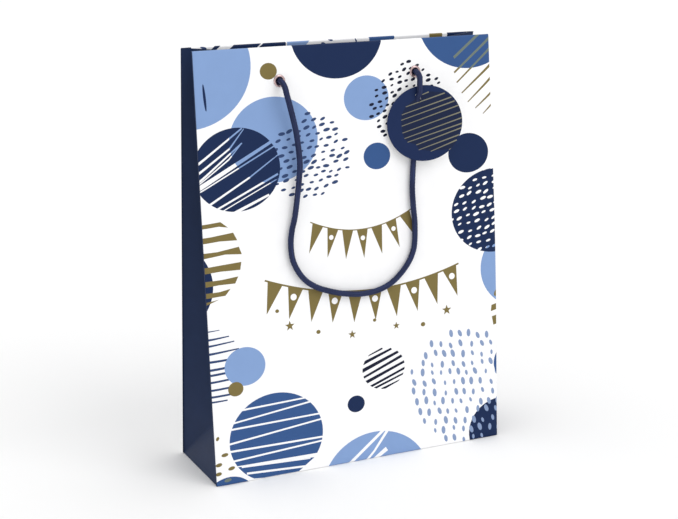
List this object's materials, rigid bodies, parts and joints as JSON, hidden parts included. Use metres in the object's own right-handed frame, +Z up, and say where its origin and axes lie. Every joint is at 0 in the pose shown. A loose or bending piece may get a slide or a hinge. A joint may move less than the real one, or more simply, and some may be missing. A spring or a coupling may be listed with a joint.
{
  "type": "paper gift bag",
  "caption": "Upright paper gift bag printed with overlapping discs, with inward-folding gussets, eyeletted rope handles and a round card tag hanging on the front rope.",
  "frame": {"origin": "middle of the base rectangle, on the surface that the bag stands on", "axes": "+Z up to the mouth, front wall faces -Y, +X along the width to the right of the front"},
  "size_m": [0.25, 0.08, 0.3309],
  "materials": {
    "printed_paper": "matt laminated art paper, white with printed discs in navy, light blue, mid blue and gold",
    "gusset_paper": "matt laminated art paper printed solid navy",
    "plain_paper": "uncoated white back of the art paper",
    "hem_card": "uncoated white card",
    "grey_board": "uncoated grey board",
    "eyelet_metal": "bright nickel plate with a pinkish cast",
    "rope": "twisted navy polypropylene rope",
    "tag_card": "matt navy card with fine gold lines"
  },
  "bodies": {
    "root": {"base_board": "grey_board", "bottom_back_flap": "plain_paper", "bottom_front_flap": "plain_paper", "bottom_left_flap": "plain_paper", "bottom_right_flap": "plain_paper", "left_gusset_base": "gusset_paper", "right_gusset_base": "gusset_paper", "left_gusset_front_leaf": "gusset_paper", "left_gusset_back_leaf": "gusset_paper", "right_gusset_front_leaf": "gusset_paper", "right_gusset_back_leaf": "gusset_paper"},
    "front_wall": {"front_panel": "printed_paper", "front_hem": "printed_paper", "front_hem_card": "hem_card", "front_eyelet_a": "eyelet_metal", "front_eyelet_b": "eyelet_metal", "front_washer_a": "eyelet_metal", "front_washer_b": "eyelet_metal", "front_knot_a": "rope", "front_knot_b": "rope"},
    "back_wall": {"back_panel": "printed_paper", "back_hem": "printed_paper", "back_hem_card": "hem_card", "back_eyelet_a": "eyelet_metal", "back_eyelet_b": "eyelet_metal", "back_washer_a": "eyelet_metal", "back_washer_b": "eyelet_metal", "back_knot_a": "rope", "back_knot_b": "rope", "glue_flap": "plain_paper"},
    "front_handle": {"front_rope": "rope"},
    "back_handle": {"back_rope": "rope"},
    "tag_body": {"tag": "tag_card"}
  },
  "joints": [
    {"name": "mouth_open", "type": "hinge", "parent": "root", "child": "front_wall", "pos_m": [0, -0.04, 0], "axis": [1, 0, 0], "range_deg": [-0.6, 4.6], "stiffness_Nm_per_rad": 1, "deforming": ["left_gusset_front_leaf", "right_gusset_front_leaf"]},
    {"name": "mouth_open_back", "type": "hinge", "parent": "root", "child": "back_wall", "pos_m": [0, 0.04, 0], "axis": [-1, 0, 0], "range_deg": [-0.6, 4.6], "stiffness_Nm_per_rad": 1, "deforming": ["left_gusset_back_leaf", "right_gusset_back_leaf"]},
    {"name": "front_handle_swing", "type": "hinge", "parent": "front_wall", "child": "front_handle", "pos_m": [0, -0.02237, 0.30607], "axis": [-1, 0, 0], "range_deg": [0, 170]},
    {"name": "back_handle_swing", "type": "hinge", "parent": "back_wall", "child": "back_handle", "pos_m": [0, 0.02237, 0.30607], "axis": [1, 0, 0], "range_deg": [0, 170]},
    {"name": "tag_swing", "type": "hinge", "parent": "front_handle", "child": "tag_body", "pos_m": [0.0571, -0.02414, 0.28665], "axis": [-0.9848, 0.1731, -0.0139], "range_deg": [0, 30]}
  ],
  "couplings": [
    {"joint": "mouth_open_back", "follows": "mouth_open", "ratio": 1}
  ]
}
